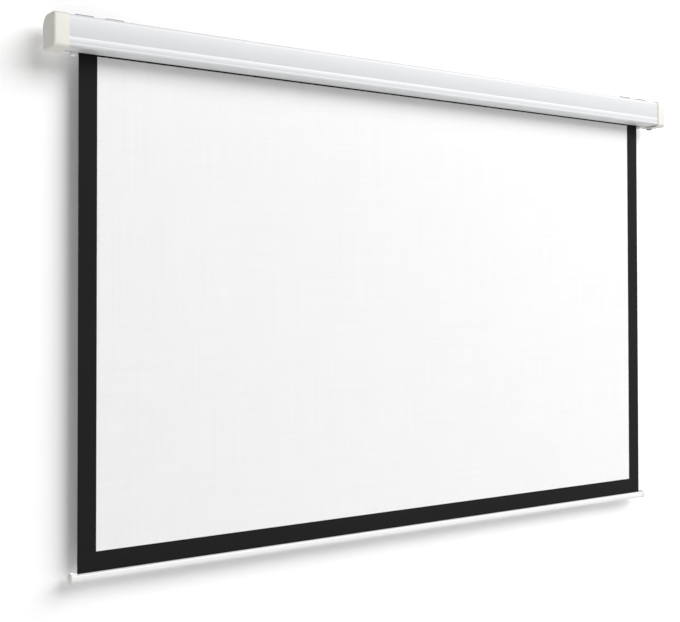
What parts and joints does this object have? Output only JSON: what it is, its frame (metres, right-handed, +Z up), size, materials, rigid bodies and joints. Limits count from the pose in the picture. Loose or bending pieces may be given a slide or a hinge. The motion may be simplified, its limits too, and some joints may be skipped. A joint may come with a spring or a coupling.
{
  "type": "motorized projector screen",
  "caption": "White projection fabric with black borders that a tubular motor rolls up into a long slotted metal case, with a weighted bottom bar and wall or ceiling brackets",
  "frame": {"origin": "on the wall plane, at the middle of the case's length and height", "axes": "+X along the screen to the viewer's right, +Y into the wall, +Z up"},
  "size_m": [2.274, 0.0838, 1.4185],
  "materials": {
    "case_paint": "satin white powder coat over aluminium",
    "cap_plastic": "fine matt ivory moulding",
    "white_plastic": "matt white moulding",
    "zinc_steel": "zinc plated sheet",
    "bare_steel": "drawn steel",
    "bare_aluminium": "mill finish extrusion",
    "bar_paint": "satin white powder coat over aluminium",
    "black_plastic": "glass filled black moulding",
    "grey_rubber": "matt moulded rubber",
    "bronze": "sintered bronze",
    "screen_white": "matt white coated fabric",
    "screen_black": "matt black coated fabric"
  },
  "bodies": {
    "housing": {"case_profile": "case_paint", "viewing_surface": "screen_white", "side_border_left": "screen_black", "side_border_right": "screen_black", "end_cap_left": "cap_plastic", "end_cap_right": "cap_plastic", "end_plate_left": "zinc_steel", "end_plate_right": "zinc_steel", "slot_plug_left": "white_plastic", "slot_plug_right": "white_plastic", "plate_screw_left_1": "zinc_steel", "plate_screw_left_2": "zinc_steel", "plate_screw_left_3": "zinc_steel", "plate_screw_left_4": "zinc_steel", "plate_screw_right_1": "zinc_steel", "plate_screw_right_2": "zinc_steel", "plate_screw_right_3": "zinc_steel", "plate_screw_right_4": "zinc_steel", "cap_screw_left_1": "zinc_steel", "cap_screw_left_2": "zinc_steel", "cap_screw_right_1": "zinc_steel", "cap_screw_right_2": "zinc_steel", "idler_pin": "bare_steel", "idler_nut": "zinc_steel", "cable_grommet": "grey_rubber", "motor_head": "black_plastic", "motor_clip": "zinc_steel", "motor_tube": "bare_steel", "gearbox": "bare_steel", "bracket_left": "zinc_steel", "bracket_right": "zinc_steel", "bracket_clamp_left": "zinc_steel", "bracket_clamp_right": "zinc_steel", "clamp_screw_left": "zinc_steel", "clamp_screw_right": "zinc_steel"},
    "roller": {"roller_tube": "bare_aluminium", "fabric_wraps": "screen_white", "fabric_lock_strip": "white_plastic", "idler_plug": "black_plastic", "idler_bush": "bronze", "drive_wheel": "black_plastic", "output_shaft": "bare_steel", "limit_crown": "black_plastic"},
    "bar": {"bottom_bar": "bar_paint", "bottom_border": "screen_black", "hem_rod": "white_plastic", "weight_rod": "bare_steel", "bar_cap_left": "white_plastic", "bar_cap_right": "white_plastic"},
    "limit_screw_up": {"limit_screw_up": "white_plastic"},
    "limit_screw_down": {"limit_screw_down": "white_plastic"}
  },
  "joints": [
    {"name": "screen_lift", "type": "slide", "parent": "housing", "child": "bar", "axis": [0, 0, 1], "range_m": [0, 1.2875], "deforming": ["viewing_surface", "side_border_left", "side_border_right"]},
    {"name": "roller_spin", "type": "hinge", "parent": "housing", "child": "roller", "pos_m": [0, -0.05005, 0.004], "axis": [1, 0, 0], "range_deg": [0, 2770]},
    {"name": "limit_up_turn", "type": "hinge", "parent": "housing", "child": "limit_screw_up", "pos_m": [1.106, -0.05655, -0.0085], "axis": [1, 0, 0], "continuous": true},
    {"name": "limit_down_turn", "type": "hinge", "parent": "housing", "child": "limit_screw_down", "pos_m": [1.106, -0.04355, -0.0085], "axis": [1, 0, 0], "continuous": true}
  ],
  "couplings": [
    {"joint": "roller_spin", "follows": "screen_lift", "rad_per_m": 37.5}
  ]
}
